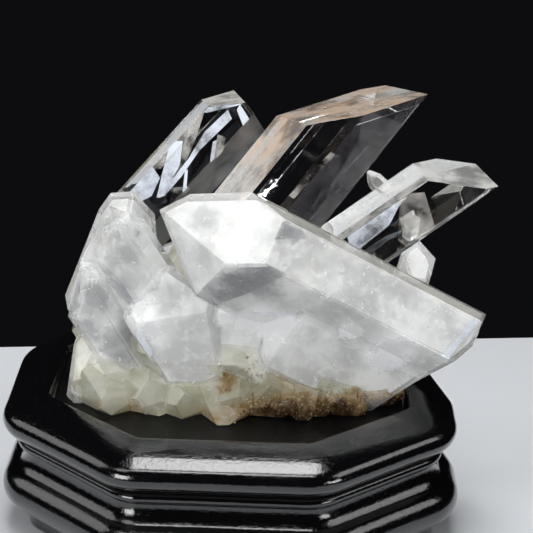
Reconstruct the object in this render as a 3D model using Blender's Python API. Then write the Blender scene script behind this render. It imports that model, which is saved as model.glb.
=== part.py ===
"""Quartz crystal cluster resting in the recess of a carved display stand.
Metres, +Z up, front toward -Y, origin on the table at the middle of the stand's foot."""

import math
import random

import bmesh
import bpy
from mathutils import Vector

# The stand's plan at the widest line of its top roll: corners from the front right round to the
# front left, each with a broad round. It was shaped by hand to the stone and isn't quite even.
STAND_HEIGHT = 0.0420
STAND_CORNERS = (
    (0.0300, -0.0570),
    (0.0685, -0.0260),
    (0.0680, -0.0060),
    (0.0500, 0.0580),
    (-0.0460, 0.0580),
    (-0.0690, 0.0240),
    (-0.0685, -0.0220),
    (-0.0300, -0.0555),
)
CORNER_RADIUS = 0.0180
CORNER_STEPS = 5
ARC_STEPS = 6

# Heights and insets of the stand's mouldings, inset counted inward from the plan.
RECESS_DEPTH = 0.0020
RECESS_INSET = 0.0150
EASE = 0.0004
TOP_ROLL_RADIUS = 0.0042
TOP_ROLL_SHOULDER = 0.0020
TOP_ROLL_DROP = 0.0006
COVE_INSET = 0.0080
COVE_HEIGHT = 0.0285
COVE_TOP = 0.0035
COVE_FOOT = 0.0012
BEAD_RADIUS = 0.0016
BEAD_INSET = 0.0042
BEAD_MIDDLE = 0.0279
GROOVE_HEIGHT = 0.0251
LOW_ROLL_RADIUS = 0.0066
LOW_ROLL_HEIGHT = 0.0135
LOW_ROLL_INSET = -0.0012
FOOT_INSET = 0.0060
FOOT_HEIGHT = 0.0045

# The cluster lies on the floor of the recess with a hair of air between.
BED_GAP = 0.0003
BED_HEIGHT = STAND_HEIGHT - RECESS_DEPTH + BED_GAP

# Every crystal is a six-sided prism cut by slanted end faces. Each end face leans over its own
# prism face at this fixed angle to the long axis of the crystal.
END_SLOPE = math.radians(38.2)
STOCK_SIZE = 0.260

# One crystal: a point on its axis at the foot, a second point that the axis passes through, the
# turn about the axis in degrees, the distance of its six prism faces from the axis and the height
# at which each of the six end faces would cross the axis. No height means no such end face.
# A break is a broken surface, by a point on it and the way that it looks.
FRONT_POINT = {
    "foot": (0.0714, -0.0066, 0.0570),
    "toward": (-0.0115, -0.0207, 0.1070),
    "turn": 33,
    "sides": (0.0115, 0.0110, 0.0072, 0.0190, 0.0240, 0.0130),
    "heads": (0.0868, None, 0.1047, None, 0.1115, 0.0972),
    "breaks": (
        ((0.0755, -0.0050, 0.0640), (0.95, -0.25, -0.30)),
        ((0.0490, -0.0100, 0.0425), (0.61, -0.20, -0.78)),
    ),
}
TALL_POINT = {
    "foot": (0.0018, -0.0063, 0.0812),
    "toward": (0.0313, 0.0128, 0.1147),
    "turn": -19.5,
    "sides": (0.0215, 0.0144, 0.0083, 0.0200, 0.0163, 0.0167),
    "heads": (None, None, None, None, None, 0.0646),
}
RIGHT_POINT = {
    "foot": (0.0345, -0.0031, 0.0810),
    "toward": (0.0645, 0.0060, 0.1005),
    "turn": -12,
    "sides": (0.0077, 0.0074, 0.0024, 0.0086, 0.0132, 0.0106),
    "heads": (None, None, None, None, None, 0.0470),
}
LEFT_POINT = {
    "foot": (-0.0330, 0.0050, 0.0850),
    "toward": (0.0002, 0.0180, 0.1200),
    "turn": -20,
    "sides": (0.0090, 0.0090, 0.0090, 0.0090, 0.0090, 0.0100),
    "heads": (None, None, None, None, None, 0.0600),
    "breaks": (((0.0026, 0.0150, 0.1270), (0.80, 0.25, 0.55)),),
}
FLANK_POINT = {
    "foot": (-0.0100, -0.0120, 0.0460),
    "toward": (-0.0400, -0.0135, 0.0970),
    "turn": 8,
    "sides": (0.0075, 0.0112, 0.0130, 0.0120, 0.0120, 0.0064),
    "heads": (None, 0.0775, None, 0.0540, None, 0.0582),
}
LOW_LEFT_POINT = {
    "foot": (-0.0270, -0.0100, 0.0470),
    "toward": (-0.0430, -0.0140, 0.0800),
    "turn": -8,
    "sides": (0.0075, 0.0080, 0.0080, 0.0080, 0.0080, 0.0090),
    "heads": (0.0460, None, 0.0440, None, 0.0360, 0.0400),
}
MIDDLE_POINT = {
    "foot": (-0.0120, -0.0100, 0.0400),
    "toward": (-0.0170, -0.0120, 0.0735),
    "turn": 4,
    "sides": (0.0115, 0.0154, 0.0120, 0.0120, 0.0120, 0.0154),
    "heads": (0.0476, None, 0.0450, None, 0.0450, None),
    "breaks": (
        ((-0.0131, -0.0215, 0.0495), (0.00, -0.45, -0.89)),
        ((-0.0222, -0.0205, 0.0565), (-0.86, -0.30, -0.50)),
        ((-0.0030, -0.0215, 0.0515), (0.45, -0.30, -0.85)),
    ),
}
UNDER_POINT = {
    "foot": (0.0595, 0.0005, 0.0330),
    "toward": (-0.0083, -0.0110, 0.0739),
    "turn": -5,
    "sides": (0.0150, 0.0237, 0.0120, 0.0010, 0.0120, 0.0113),
    "heads": (0.0752, None, None, None, None, 0.0704),
    "breaks": (
        ((0.0755, -0.0050, 0.0640), (0.95, -0.25, -0.30)),
        ((0.0480, -0.0100, 0.0425), (0.61, -0.20, -0.78)),
    ),
}
YELLOW_POINT = {
    "foot": (0.0075, -0.0095, 0.0400),
    "toward": (0.0055, -0.0065, 0.0680),
    "turn": 0,
    "sides": (0.0125, 0.0141, 0.0120, 0.0120, 0.0120, 0.0141),
    "heads": (0.0470, None, 0.0400, None, 0.0400, None),
    "breaks": (
        ((0.0092, -0.0205, 0.0500), (-0.33, -0.35, -0.87)),
        ((0.0128, -0.0205, 0.0545), (0.80, -0.30, -0.53)),
    ),
}
EDGE_POINT = {
    "foot": (-0.0424, -0.0070, 0.0648),
    "toward": (-0.0273, -0.0070, 0.1018),
    "turn": 10,
    "sides": (0.0095, 0.0090, 0.0090, 0.0090, 0.0074, 0.0088),
    "heads": (None, 0.0420, None, 0.0420, None, 0.0460),
    "breaks": (
        ((-0.0487, -0.0100, 0.0730), (-0.97, -0.10, -0.20)),
        ((-0.0445, -0.0100, 0.0665), (-0.50, -0.30, -0.81)),
    ),
}
CORNER_POINT = {
    "foot": (-0.0360, -0.0050, 0.0380),
    "toward": (-0.0318, -0.0050, 0.0620),
    "turn": 0,
    "sides": (0.0110, 0.0131, 0.0120, 0.0120, 0.0090, 0.0150),
    "heads": (0.0370, None, 0.0360, None, 0.0360, 0.0390),
    "breaks": (
        ((-0.0390, -0.0160, 0.0560), (-0.45, -0.80, 0.40)),
        ((-0.0330, -0.0170, 0.0500), (0.35, -0.90, 0.25)),
    ),
}
SHOULDER_POINT = {
    "foot": (0.0500, 0.0030, 0.0600),
    "toward": (0.0570, 0.0030, 0.0860),
    "turn": 25,
    "sides": (0.0050, 0.0055, 0.0050, 0.0050, 0.0050, 0.0050),
    "heads": (0.0240, 0.0300, 0.0290, None, 0.0290, 0.0300),
}
STUB_POINT = {
    "foot": (0.0500, 0.0110, 0.0960),
    "toward": (0.0405, 0.0150, 0.1040),
    "turn": 10,
    "sides": (0.0026, 0.0024, 0.0022, 0.0024, 0.0022, 0.0024),
    "heads": (0.0135, 0.0130, None, None, 0.0142, 0.0128),
}
BACK_LEFT_POINT = {
    "foot": (-0.0080, 0.0020, 0.0500),
    "toward": (-0.0300, 0.0360, 0.0700),
    "turn": 15,
    "sides": (0.0100, 0.0110, 0.0090, 0.0100, 0.0110, 0.0090),
    "heads": (0.0430, None, 0.0470, None, 0.0450, None),
}
BACK_RIGHT_POINT = {
    "foot": (0.0220, 0.0000, 0.0520),
    "toward": (0.0420, 0.0340, 0.0640),
    "turn": -20,
    "sides": (0.0090, 0.0080, 0.0100, 0.0090, 0.0080, 0.0100),
    "heads": (0.0400, None, 0.0380, None, 0.0430, None),
}

# Broken quartz between and under the crystals: middle, half sizes, seed and number of facets.
LUMPS = (
    ((0.0060, 0.0040, 0.0720), (0.0340, 0.0160, 0.0200), 3, 26),
    ((-0.0260, 0.0020, 0.0560), (0.0220, 0.0190, 0.0200), 5, 24),
    ((0.0020, -0.0010, 0.0500), (0.0290, 0.0230, 0.0180), 7, 26),
    ((0.0310, -0.0010, 0.0540), (0.0200, 0.0180, 0.0170), 9, 26),
    ((-0.0340, -0.0050, 0.0490), (0.0170, 0.0120, 0.0150), 12, 22),
    ((-0.0350, -0.0125, 0.0440), (0.0115, 0.0080, 0.0100), 15, 14),
    ((-0.0230, -0.0140, 0.0435), (0.0115, 0.0085, 0.0092), 16, 14),
    ((-0.0120, -0.0155, 0.0435), (0.0108, 0.0080, 0.0092), 18, 14),
    ((0.0000, -0.0160, 0.0430), (0.0115, 0.0080, 0.0088), 21, 14),
    ((0.0110, -0.0155, 0.0430), (0.0115, 0.0080, 0.0085), 22, 14),
    ((0.0220, -0.0150, 0.0425), (0.0115, 0.0080, 0.0075), 23, 14),
    ((0.0320, -0.0130, 0.0430), (0.0115, 0.0085, 0.0075), 25, 14),
    ((0.0410, -0.0095, 0.0450), (0.0095, 0.0085, 0.0075), 27, 14),
    ((0.0200, 0.0200, 0.0520), (0.0180, 0.0120, 0.0150), 31, 18),
    ((-0.0120, 0.0220, 0.0500), (0.0190, 0.0120, 0.0140), 33, 18),
)
LUMP_RUGGED = 0.22

# Small points round the foot: foot, the way that each one points, radius, length and turn.
SMALL_POINTS = (
    ((-0.0225, -0.0150, 0.0400), (-0.10, -0.55, 0.80), 0.0056, 0.0165, 12),
    ((-0.0140, -0.0175, 0.0400), (0.25, -0.60, 0.70), 0.0048, 0.0130, 40),
    ((0.0020, -0.0150, 0.0440), (0.10, -0.90, 0.35), 0.0048, 0.0125, 5),
    ((0.0105, -0.0150, 0.0435), (0.15, -0.80, 0.60), 0.0050, 0.0130, 28),
    ((0.0230, -0.0155, 0.0400), (-0.20, -0.75, 0.60), 0.0048, 0.0120, 50),
    ((0.0340, -0.0120, 0.0400), (0.30, -0.80, 0.50), 0.0052, 0.0130, 10),
    ((0.0440, -0.0060, 0.0420), (0.50, -0.70, 0.45), 0.0050, 0.0120, 33),
    ((-0.0330, -0.0140, 0.0390), (-0.25, -0.60, 0.75), 0.0054, 0.0135, 20),
    ((-0.0370, 0.0040, 0.0420), (-0.80, 0.20, 0.50), 0.0058, 0.0130, 15),
    ((-0.0330, 0.0160, 0.0430), (-0.60, 0.50, 0.62), 0.0062, 0.0160, 44),
    ((-0.0060, 0.0270, 0.0420), (0.00, 0.75, 0.66), 0.0060, 0.0140, 8),
    ((0.0160, 0.0250, 0.0430), (0.20, 0.80, 0.55), 0.0058, 0.0140, 36),
    ((0.0360, 0.0110, 0.0430), (0.75, 0.45, 0.50), 0.0060, 0.0130, 22),
)
SMALL_UNEVEN = 0.16


def clear_scene():
    for obj in list(bpy.data.objects):
        bpy.data.objects.remove(obj, do_unlink=True)


def collection(name, hidden=False):
    group = bpy.data.collections.new(name)
    bpy.context.scene.collection.children.link(group)
    group.hide_render = hidden
    return group


def as_object(bm, name, group):
    bmesh.ops.recalc_face_normals(bm, faces=bm.faces)
    mesh = bpy.data.meshes.new(name)
    bm.to_mesh(mesh)
    bm.free()
    obj = bpy.data.objects.new(name, mesh)
    group.objects.link(obj)
    if group.hide_render:
        obj.hide_render = True
        obj.display_type = "WIRE"
    return obj


def slice_off(bm, point, normal):
    """Cuts away what lies beyond the plane and closes the cut."""
    everything = bm.verts[:] + bm.edges[:] + bm.faces[:]
    cut = bmesh.ops.bisect_plane(
        bm, geom=everything, plane_co=point, plane_no=normal, dist=1e-7, clear_outer=True
    )
    rim = [item for item in cut["geom_cut"] if isinstance(item, bmesh.types.BMEdge)]
    if rim:
        bmesh.ops.contextual_create(bm, geom=rim)


def crystal(name, spec, group):
    """A six-sided crystal with unequal faces and its slanted end faces, closed at the foot."""
    foot = Vector(spec["foot"])
    along = (Vector(spec["toward"]) - foot).normalized()
    front = Vector((0, -1, 0))
    front = (front - along * front.dot(along)).normalized()
    across = along.cross(front)
    bm = bmesh.new()
    bmesh.ops.create_cube(bm, size=STOCK_SIZE)
    bmesh.ops.translate(bm, verts=bm.verts, vec=foot)
    slice_off(bm, foot, -along)
    for k in range(6):
        angle = math.radians(spec["turn"] + 60 * k)
        outward = front * math.cos(angle) + across * math.sin(angle)
        slice_off(bm, foot + outward * spec["sides"][k], outward)
        if spec["heads"][k] is not None:
            tilted = outward * math.cos(END_SLOPE) + along * math.sin(END_SLOPE)
            slice_off(bm, foot + along * spec["heads"][k], tilted)
    for point, normal in spec.get("breaks", ()):
        slice_off(bm, Vector(point), Vector(normal).normalized())
    return as_object(bm, name, group)


def lump(name, spec, group):
    """A piece of broken quartz: a closed stone with flat facets set at seeded slants."""
    middle, half, seed, facets = spec
    chance = random.Random(seed)
    bm = bmesh.new()
    bmesh.ops.create_cube(bm, size=STOCK_SIZE)
    bmesh.ops.translate(bm, verts=bm.verts, vec=middle)
    golden = math.pi * (3 - math.sqrt(5))
    for k in range(facets):
        up = 1 - 2 * (k + 0.5) / facets + chance.uniform(-0.5, 0.5) / facets
        angle = golden * k + chance.uniform(-0.5, 0.5)
        level = math.sqrt(max(0.0, 1 - up * up))
        way = Vector((level * math.cos(angle), level * math.sin(angle), up))
        reach = math.sqrt(sum((way[i] * half[i]) ** 2 for i in range(3)))
        reach *= 1 - chance.uniform(0, LUMP_RUGGED)
        slice_off(bm, Vector(middle) + way * reach, way)
    return as_object(bm, name, group)


def bed(group):
    """What lies below the cluster's resting plane, to be cut away."""
    bm = bmesh.new()
    bmesh.ops.create_cube(bm, size=STOCK_SIZE)
    bmesh.ops.translate(bm, verts=bm.verts, vec=(0, 0, BED_HEIGHT - STOCK_SIZE / 2))
    return as_object(bm, "below_the_bed", group)


def small_point(name, spec, group):
    """A short crystal with three main end faces, its faces a little uneven."""
    foot, way, radius, length, turn = spec
    chance = random.Random(turn)
    uneven = [1 + chance.uniform(-SMALL_UNEVEN, SMALL_UNEVEN) for _ in range(6)]
    grown = {
        "foot": foot,
        "toward": Vector(foot) + Vector(way),
        "turn": turn,
        "sides": [radius * u for u in uneven],
        "heads": [length * uneven[k] if k % 2 == 0 else None for k in range(6)],
    }
    return crystal(name, grown, group)


def join(target, others):
    for other in others:
        union = target.modifiers.new("grown_with_" + other.name, "BOOLEAN")
        union.operation = "UNION"
        union.solver = "EXACT"
        union.object = other


def material(name, colour, roughness, metallic=0.0):
    made = bpy.data.materials.new(name)
    made.use_nodes = True
    shader = made.node_tree.nodes["Principled BSDF"]
    shader.inputs["Base Color"].default_value = (*colour, 1)
    shader.inputs["Roughness"].default_value = roughness
    shader.inputs["Metallic"].default_value = metallic
    made.diffuse_color = (*colour, 1)
    return made


def plan_ring(inset, height):
    """The stand's plan moved inward by inset: the corner arcs lose the same radius."""
    corners = [Vector(c) for c in STAND_CORNERS]
    count = len(corners)
    ring = []
    for i, corner in enumerate(corners):
        before = (corner - corners[i - 1]).normalized()
        after = (corners[(i + 1) % count] - corner).normalized()
        out_before = Vector((before.y, -before.x))
        out_after = Vector((after.y, -after.x))
        reach = CORNER_RADIUS / math.cos(out_before.angle(out_after) / 2)
        centre = corner - (out_before + out_after).normalized() * reach
        start = math.atan2(out_before.y, out_before.x)
        swing = out_before.angle(out_after)
        for step in range(CORNER_STEPS + 1):
            angle = start + swing * step / CORNER_STEPS
            radius = CORNER_RADIUS - inset
            ring.append(
                (centre.x + radius * math.cos(angle), centre.y + radius * math.sin(angle), height)
            )
    return ring


def arc(inset, height, radius, first, last):
    """Points of a moulding's round; 0 degrees points outward and 90 up."""
    points = []
    for step in range(ARC_STEPS + 1):
        angle = math.radians(first + (last - first) * step / ARC_STEPS)
        points.append((inset - radius * math.cos(angle), height + radius * math.sin(angle)))
    return points


def stand_profile():
    """From the recess floor over the rim and down the mouldings to the foot."""
    floor = STAND_HEIGHT - RECESS_DEPTH
    roll = TOP_ROLL_RADIUS
    low = LOW_ROLL_RADIUS
    profile = [(RECESS_INSET + EASE, floor), (RECESS_INSET, floor + EASE)]
    profile += [(RECESS_INSET - EASE, STAND_HEIGHT - EASE), (RECESS_INSET - 3 * EASE, STAND_HEIGHT)]
    profile += arc(roll + TOP_ROLL_SHOULDER, STAND_HEIGHT - roll, roll, 90, 30)
    profile += arc(roll, STAND_HEIGHT - roll - TOP_ROLL_DROP, roll, 20, -80)
    profile += [(COVE_INSET, COVE_HEIGHT + COVE_TOP), (COVE_INSET, COVE_HEIGHT + COVE_FOOT)]
    profile += arc(BEAD_INSET + BEAD_RADIUS, BEAD_MIDDLE, BEAD_RADIUS, 90, -70)
    profile += [(BEAD_INSET + BEAD_RADIUS + TOP_ROLL_DROP, GROOVE_HEIGHT)]
    profile += arc(LOW_ROLL_INSET + low, LOW_ROLL_HEIGHT, low, 80, -70)
    profile += [(FOOT_INSET, FOOT_HEIGHT), (FOOT_INSET, EASE), (FOOT_INSET + EASE, 0.0)]
    return profile


def display_stand(group):
    bm = bmesh.new()
    rings = [plan_ring(inset, height) for inset, height in stand_profile()]
    row = [bm.verts.new(point) for point in rings[0]]
    edges = [bm.edges.new((row[i - 1], row[i])) for i in range(len(row))]
    bmesh.ops.contextual_create(bm, geom=edges)
    for ring in rings[1:]:
        drawn = bmesh.ops.extrude_edge_only(bm, edges=edges)["geom"]
        fresh = [item for item in drawn if isinstance(item, bmesh.types.BMVert)]
        edges = [item for item in drawn if isinstance(item, bmesh.types.BMEdge)]
        row = [min(fresh, key=lambda v: (v.co - old.co).length) for old in row]
        for vert, point in zip(row, ring):
            vert.co = point
    bmesh.ops.contextual_create(bm, geom=edges)
    stand = as_object(bm, "display_stand", group)
    stand.data.materials.append(material("black_lacquered_wood", (0.006, 0.006, 0.007), 0.12))
    return stand


def quartz_cluster(group, helpers):
    cluster = crystal("quartz_cluster", FRONT_POINT, group)
    others = [
        crystal("tall_point", TALL_POINT, helpers),
        crystal("right_point", RIGHT_POINT, helpers),
        crystal("left_point", LEFT_POINT, helpers),
        crystal("flank_point", FLANK_POINT, helpers),
        crystal("low_left_point", LOW_LEFT_POINT, helpers),
        crystal("middle_point", MIDDLE_POINT, helpers),
        crystal("under_point", UNDER_POINT, helpers),
        crystal("yellow_point", YELLOW_POINT, helpers),
        crystal("edge_point", EDGE_POINT, helpers),
        crystal("corner_point", CORNER_POINT, helpers),
        crystal("shoulder_point", SHOULDER_POINT, helpers),
        crystal("stub_point", STUB_POINT, helpers),
        crystal("back_left_point", BACK_LEFT_POINT, helpers),
        crystal("back_right_point", BACK_RIGHT_POINT, helpers),
    ]
    others += [lump(f"lump_{i}", spec, helpers) for i, spec in enumerate(LUMPS)]
    others += [small_point(f"small_{i}", spec, helpers) for i, spec in enumerate(SMALL_POINTS)]
    join(cluster, others)
    rest = cluster.modifiers.new("flat_to_rest_on", "BOOLEAN")
    rest.operation = "DIFFERENCE"
    rest.solver = "EXACT"
    rest.object = bed(helpers)
    cluster.data.materials.append(material("milky_quartz", (0.62, 0.62, 0.60), 0.18))
    return cluster


clear_scene()
object_group = collection("quartz_cluster_on_stand")
helper_group = collection("joined_crystals", hidden=True)
display_stand(object_group)
quartz_cluster(object_group, helper_group)
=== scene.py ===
import math
import random

import bmesh
import bpy
from mathutils import Matrix, Vector, noise


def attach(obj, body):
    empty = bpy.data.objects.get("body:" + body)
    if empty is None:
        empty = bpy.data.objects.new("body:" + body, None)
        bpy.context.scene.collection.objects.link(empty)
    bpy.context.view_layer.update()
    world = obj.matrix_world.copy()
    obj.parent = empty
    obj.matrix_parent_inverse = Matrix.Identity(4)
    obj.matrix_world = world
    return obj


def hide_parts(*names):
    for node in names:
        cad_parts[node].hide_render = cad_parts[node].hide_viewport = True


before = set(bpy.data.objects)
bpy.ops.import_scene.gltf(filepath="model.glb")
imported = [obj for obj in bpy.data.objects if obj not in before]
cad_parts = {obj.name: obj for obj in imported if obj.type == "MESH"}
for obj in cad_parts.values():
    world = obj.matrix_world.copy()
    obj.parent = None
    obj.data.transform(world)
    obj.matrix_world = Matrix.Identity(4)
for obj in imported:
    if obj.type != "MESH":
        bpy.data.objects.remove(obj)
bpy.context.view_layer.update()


# THE DISPLAY STAND
# One block of carved hardwood under black lacquer. A round top roll, a cove with a fine bead and a
# fat lower roll run round it. It stands free on the table and carries the stone in its recess.

STAND_HEIGHT = 0.0420
STAND_CORNERS = (
    (0.0300, -0.0570),
    (0.0685, -0.0260),
    (0.0680, -0.0060),
    (0.0500, 0.0580),
    (-0.0460, 0.0580),
    (-0.0690, 0.0240),
    (-0.0685, -0.0220),
    (-0.0300, -0.0555),
)
CORNER_RADIUS = 0.0180
CORNER_STEPS = 14
EDGE_STEPS = 6
ARC_STEPS = 14
RECESS_DEPTH = 0.0020
RECESS_INSET = 0.0150
TOP_ROLL_RADIUS = 0.0042
LIP = 0.0006
CROWN_WIDTH = 0.0117
CROWN_DROP = 0.0032
CROWN_END = 61
CROWN_STEPS = 10
COVE_INSET = 0.0080
COVE_HEIGHT = 0.0285
BEAD_RADIUS = 0.0016
LOW_ROLL_RADIUS = 0.0066
LOW_ROLL_HEIGHT = 0.0135
LOW_ROLL_INSET = -0.0012
FOOT_INSET = 0.0060
FOOT_HEIGHT = 0.0045


def plan_ring(inset, height):
    """The stand's outline with its rounded corners, that far inside its widest and at that height."""
    corners = [Vector(c) for c in STAND_CORNERS]
    count = len(corners)
    turns = []
    for i, corner in enumerate(corners):
        before = (corner - corners[i - 1]).normalized()
        after = (corners[(i + 1) % count] - corner).normalized()
        out_before = Vector((before.y, -before.x))
        out_after = Vector((after.y, -after.x))
        swing = out_before.angle(out_after)
        centre = corner - (out_before + out_after).normalized() * CORNER_RADIUS / math.cos(swing / 2)
        start = math.atan2(out_before.y, out_before.x)
        radius = CORNER_RADIUS - inset
        angles = [start + swing * k / CORNER_STEPS for k in range(CORNER_STEPS + 1)]
        turns.append([centre + radius * Vector((math.cos(a), math.sin(a))) for a in angles])
    ring = []
    for i, turn in enumerate(turns):
        ring += turn
        following = turns[(i + 1) % count][0]
        ring += [turn[-1].lerp(following, k / EDGE_STEPS) for k in range(1, EDGE_STEPS)]
    return [Vector((p.x, p.y, height)) for p in ring]


def arc(inset, height, radius, first, last):
    """Part of a round moulding, between two angles in degrees above the level outward direction."""
    points = []
    for step in range(ARC_STEPS + 1):
        angle = math.radians(first + (last - first) * step / ARC_STEPS)
        points.append((inset - radius * math.cos(angle), height + radius * math.sin(angle)))
    return points


def stand_profile():
    """The stand's section from the recess floor over the crowned top and the mouldings to the foot."""
    floor = STAND_HEIGHT - RECESS_DEPTH
    roll = TOP_ROLL_RADIUS
    top = STAND_HEIGHT + LIP
    profile = [(RECESS_INSET + 0.0010, floor), (RECESS_INSET + 0.0003, floor + 0.0001)]
    profile += [(RECESS_INSET, floor + 0.0005), (RECESS_INSET - 0.0003, top - 0.0005)]
    profile += [(RECESS_INSET - 0.0007, top - 0.0001), (RECESS_INSET - 0.0011, top)]
    for step in range(1, CROWN_STEPS + 1):
        share = step / CROWN_STEPS
        profile.append((RECESS_INSET - 0.0011 - CROWN_WIDTH * share, top - CROWN_DROP * share**2))
    middle = top - CROWN_DROP - roll * math.sin(math.radians(CROWN_END))
    profile += arc(roll, middle, roll, CROWN_END - 6, -60)
    profile += [(COVE_INSET - 0.0008, COVE_HEIGHT + 0.0036), (COVE_INSET, COVE_HEIGHT + 0.0030)]
    profile += [(COVE_INSET + 0.0001, COVE_HEIGHT + 0.0022), (COVE_INSET, COVE_HEIGHT + 0.0014)]
    profile += arc(COVE_INSET - 0.0022, COVE_HEIGHT - 0.0006, BEAD_RADIUS, 90, -70)
    profile += [(COVE_INSET - 0.0018, COVE_HEIGHT - 0.0028), (COVE_INSET - 0.0016, COVE_HEIGHT - 0.0034)]
    low = LOW_ROLL_RADIUS
    profile += arc(LOW_ROLL_INSET + low, LOW_ROLL_HEIGHT, low, 80, -70)
    profile += [(FOOT_INSET - 0.0008, FOOT_HEIGHT + 0.0006), (FOOT_INSET, FOOT_HEIGHT)]
    profile += [(FOOT_INSET, 0.0010), (FOOT_INSET + 0.0002, 0.0003), (FOOT_INSET + 0.0006, 0.0)]
    return profile


def piece(name, mesh, *slots):
    """A finished piece of the object, riding where it rests."""
    obj = bpy.data.objects.new(name, mesh)
    bpy.context.scene.collection.objects.link(obj)
    for made in slots:
        mesh.materials.append(made)
    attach(obj, "root")
    return obj


def new_material(name):
    """A material with its node tree, its shader and its output."""
    made = bpy.data.materials.new(name)
    made.use_nodes = True
    tree = made.node_tree
    return made, tree, tree.nodes["Principled BSDF"], tree.nodes["Material Output"]


def fed(tree, value, socket):
    """Gives a socket a plain value or links it."""
    if isinstance(value, bpy.types.NodeSocket):
        tree.links.new(value, socket)
    elif socket.type == "RGBA":
        socket.default_value = (*value, 1)
    else:
        socket.default_value = value


def mask_group(name, inputs):
    """An empty node group with a position, named values and one mask."""
    made = bpy.data.node_groups.new(name, "ShaderNodeTree")
    made.interface.new_socket(name="Position", in_out="INPUT", socket_type="NodeSocketVector")
    for title, kind in inputs:
        made.interface.new_socket(name=title, in_out="INPUT", socket_type=f"NodeSocket{kind}")
    made.interface.new_socket(name="Mask", in_out="OUTPUT", socket_type="NodeSocketFloat")
    given = made.nodes.new("NodeGroupInput").outputs
    return made, given, made.nodes.new("NodeGroupOutput").inputs["Mask"]


def noise_node(tree, place, scale, detail, roughness=0.5):
    """Cloudy noise between 0 and 1."""
    node = tree.nodes.new("ShaderNodeTexNoise")
    fed(tree, place, node.inputs["Vector"])
    fed(tree, scale, node.inputs["Scale"])
    fed(tree, detail, node.inputs["Detail"])
    fed(tree, roughness, node.inputs["Roughness"])
    return node.outputs["Fac"]


def ramped(tree, value, low, high, to_low=0.0, to_high=1.0):
    """A smooth step of a value between two limits."""
    node = tree.nodes.new("ShaderNodeMapRange")
    node.interpolation_type = "SMOOTHSTEP"
    fed(tree, value, node.inputs["Value"])
    fed(tree, low, node.inputs["From Min"])
    fed(tree, high, node.inputs["From Max"])
    fed(tree, to_low, node.inputs["To Min"])
    fed(tree, to_high, node.inputs["To Max"])
    return node.outputs["Result"]


def sums(tree, operation, first, second):
    """One sum of two values."""
    node = tree.nodes.new("ShaderNodeMath")
    node.operation = operation
    fed(tree, first, node.inputs[0])
    fed(tree, second, node.inputs[1])
    return node.outputs[0]


def cloud_group():
    """Patches with soft edges: bare below the low value and full above the high one."""
    values = [(title, "Float") for title in ("Scale", "Detail", "Low", "High")]
    made, given, mask = mask_group("cloud_patches", values)
    cloud = noise_node(made, given["Position"], given["Scale"], given["Detail"], 0.6)
    made.links.new(ramped(made, cloud, given["Low"], given["High"]), mask)
    return made


CLOUD = cloud_group()


def placed(tree, made, **values):
    """One of the shared groups in a material, with its own values, on the object's own position."""
    node = tree.nodes.new("ShaderNodeGroup")
    node.node_tree = made
    fed(tree, tree.nodes.new("ShaderNodeTexCoord").outputs["Object"], node.inputs["Position"])
    for title, value in values.items():
        fed(tree, value, node.inputs[title])
    return node.outputs["Mask"]


def mixed(tree, factor, first, second):
    """A colour between two."""
    mix = tree.nodes.new("ShaderNodeMix")
    mix.data_type = "RGBA"
    fed(tree, factor, mix.inputs["Factor"])
    fed(tree, first, mix.inputs["A"])
    fed(tree, second, mix.inputs["B"])
    return mix.outputs["Result"]


def bumped(tree, height, strength, distance, shader):
    """Gives a shader a bump from a height, and returns its normal."""
    bump = tree.nodes.new("ShaderNodeBump")
    bump.inputs["Strength"].default_value = strength
    bump.inputs["Distance"].default_value = distance
    tree.links.new(height, bump.inputs["Height"])
    tree.links.new(bump.outputs["Normal"], shader.inputs["Normal"])
    return bump.outputs["Normal"]


def black_lacquer():
    """Thick brushed lacquer with an orange-peel skin, a few dust nibs and cloudy wiping marks."""
    made, tree, shader, _ = new_material("black_lacquer")
    dust = placed(tree, CLOUD, Scale=1300, Detail=2, Low=0.66, High=0.74)
    fed(tree, mixed(tree, dust, (0.003, 0.003, 0.0035), (0.02, 0.02, 0.022)), shader.inputs["Base Color"])
    wiped = placed(tree, CLOUD, Scale=55, Detail=5, Low=0.35, High=0.7)
    fed(tree, ramped(tree, wiped, 0.0, 1.0, 0.04, 0.09), shader.inputs["Roughness"])
    shader.inputs["Specular IOR Level"].default_value = 0.6
    shader.inputs["Coat Weight"].default_value = 0.65
    shader.inputs["Coat IOR"].default_value = 1.6
    shader.inputs["Coat Roughness"].default_value = 0.04
    peel = placed(tree, CLOUD, Scale=800, Detail=3, Low=0.25, High=0.75)
    bumped(tree, peel, 0.26, 0.0002, shader)
    return made


def recess_lacquer():
    """The floor of the recess: thinner, duller lacquer over the brushed grain."""
    made, tree, shader, _ = new_material("recess_lacquer")
    worn = placed(tree, CLOUD, Scale=45, Detail=6, Low=0.3, High=0.7)
    fed(tree, mixed(tree, worn, (0.003, 0.003, 0.0035), (0.006, 0.006, 0.0065)), shader.inputs["Base Color"])
    fed(tree, ramped(tree, worn, 0.0, 1.0, 0.24, 0.42), shader.inputs["Roughness"])
    shader.inputs["Specular IOR Level"].default_value = 0.2
    grain = placed(tree, CLOUD, Scale=1400, Detail=4, Low=0.2, High=0.8)
    bumped(tree, grain, 0.35, 0.0002, shader)
    return made


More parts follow.
